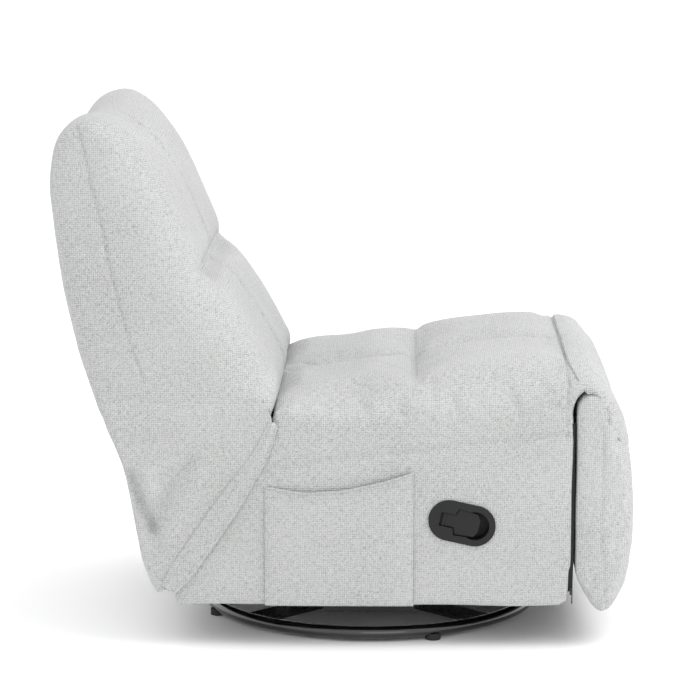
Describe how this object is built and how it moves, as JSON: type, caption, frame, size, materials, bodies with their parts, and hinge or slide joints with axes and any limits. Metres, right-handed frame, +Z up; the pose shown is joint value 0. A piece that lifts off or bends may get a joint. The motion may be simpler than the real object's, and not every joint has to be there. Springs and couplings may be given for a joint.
{
  "type": "armless swivel glider recliner chair",
  "caption": "Upholstered armless nursery glider on a round ring base that swivels, glides, reclines and lifts a footrest; side pocket and pull paddle.",
  "frame": {"origin": "centre of the bounding box on the floor, under the seat", "axes": "+Z up, the chair faces -Y, its left side is +X"},
  "size_m": [0.6935, 1.0237, 0.9459],
  "materials": {
    "woven_fabric": "matte, light grey woven",
    "black_gloss": "gloss",
    "black_steel": "satin",
    "zinc": "satin",
    "nylon": "matte",
    "rubber_feet": "matte",
    "plywood": "matte",
    "spring_wire": "satin",
    "bezel_plastic": "fine grain",
    "paddle_plastic": "fine grain",
    "cable_sheath": "satin",
    "webbing": "matte"
  },
  "bodies": {
    "base": {"base_ring": "black_gloss", "base_arms": "black_gloss", "base_feet": "rubber_feet", "swivel_bottom_plate": "zinc", "base_bolts": "zinc", "swivel_balls": "zinc", "ball_cage": "nylon", "swivel_stem": "zinc"},
    "swivel": {"swivel_top_plate": "zinc", "glide_crossbars": "black_steel", "glide_upright_left": "black_steel", "glide_upright_right": "black_steel", "upper_pivot_pins": "zinc"},
    "front_swing_links": {"front_link_left": "black_steel", "front_link_right": "black_steel", "front_link_bushes": "nylon"},
    "rear_swing_links": {"rear_link_left": "black_steel", "rear_link_right": "black_steel", "rear_link_bushes": "nylon"},
    "seat": {"mechanism_rail_left": "black_steel", "mechanism_rail_right": "black_steel", "lower_pivot_pins": "zinc", "side_board_left": "plywood", "side_board_right": "plywood", "front_rail": "plywood", "rear_rail": "plywood", "skirt_rail": "plywood", "corner_blocks": "plywood", "seat_springs": "spring_wire", "spring_clips": "nylon", "handle_bezel": "bezel_plastic", "paddle_pin": "black_steel", "release_cable": "cable_sheath", "cable_anchor": "nylon", "release_latch": "black_steel", "seat_cushion": "woven_fabric", "front_bolster": "woven_fabric", "side_padding_left": "woven_fabric", "side_padding_right": "woven_fabric", "side_pocket": "woven_fabric", "zip_slider": "black_steel", "footrest_hinges": "black_steel", "footrest_hinge_pins": "zinc", "drive_tube_bushes": "nylon", "back_hinges": "black_steel", "recline_pins": "zinc", "back_skirt": "woven_fabric"},
    "backrest": {"back_cushion": "woven_fabric", "back_stiles": "plywood", "back_rails": "plywood", "back_webbing": "webbing", "back_bracket_left": "black_steel", "back_bracket_right": "black_steel"},
    "footrest": {"footrest_cushion": "woven_fabric", "footrest_board": "plywood", "footrest_brackets": "black_steel", "footrest_lug_pins": "zinc"},
    "drive_tube_body": {"drive_tube": "black_steel"},
    "drive_link_pair": {"drive_links": "black_steel"},
    "paddle": {"release_paddle": "paddle_plastic"}
  },
  "joints": [
    {"name": "swivel_turn", "type": "hinge", "parent": "base", "child": "swivel", "pos_m": [0, -0.052, 0.036], "axis": [0, 0, 1], "continuous": true},
    {"name": "glide", "type": "hinge", "parent": "swivel", "child": "front_swing_links", "pos_m": [0, -0.152, 0.3], "axis": [1, 0, 0], "range_deg": [-15, 15]},
    {"name": "seat_hang", "type": "hinge", "parent": "front_swing_links", "child": "seat", "pos_m": [0, -0.152, 0.16], "axis": [1, 0, 0], "range_deg": [-15, 15]},
    {"name": "rear_links_swing", "type": "hinge", "parent": "swivel", "child": "rear_swing_links", "pos_m": [0, 0.048, 0.3], "axis": [1, 0, 0], "range_deg": [-15, 15]},
    {"name": "recline", "type": "hinge", "parent": "seat", "child": "backrest", "pos_m": [0, 0.2, 0.35], "axis": [-1, 0, 0], "range_deg": [0, 35], "deforming": ["back_skirt"]},
    {"name": "legrest", "type": "hinge", "parent": "seat", "child": "footrest", "pos_m": [0, -0.455, 0.43], "axis": [-1, 0, 0], "range_deg": [0, 85]},
    {"name": "drive_turn", "type": "hinge", "parent": "seat", "child": "drive_tube_body", "pos_m": [0, -0.29, 0.33], "axis": [-1, 0, 0], "range_deg": [0, 85]},
    {"name": "drive_links_swing", "type": "hinge", "parent": "drive_tube_body", "child": "drive_link_pair", "pos_m": [0, -0.26, 0.235], "axis": [-1, 0, 0], "range_deg": [-85, 0]},
    {"name": "paddle_pull", "type": "hinge", "parent": "seat", "child": "paddle", "pos_m": [-0.338, -0.18578, 0.23514], "axis": [0, 0.2164, -0.9763], "range_deg": [0, 30], "stiffness_Nm_per_rad": 0.4}
  ],
  "couplings": [
    {"joint": "seat_hang", "follows": "glide", "ratio": -1},
    {"joint": "rear_links_swing", "follows": "glide", "ratio": 1},
    {"joint": "drive_turn", "follows": "legrest", "ratio": 1},
    {"joint": "drive_links_swing", "follows": "legrest", "ratio": -1}
  ]
}
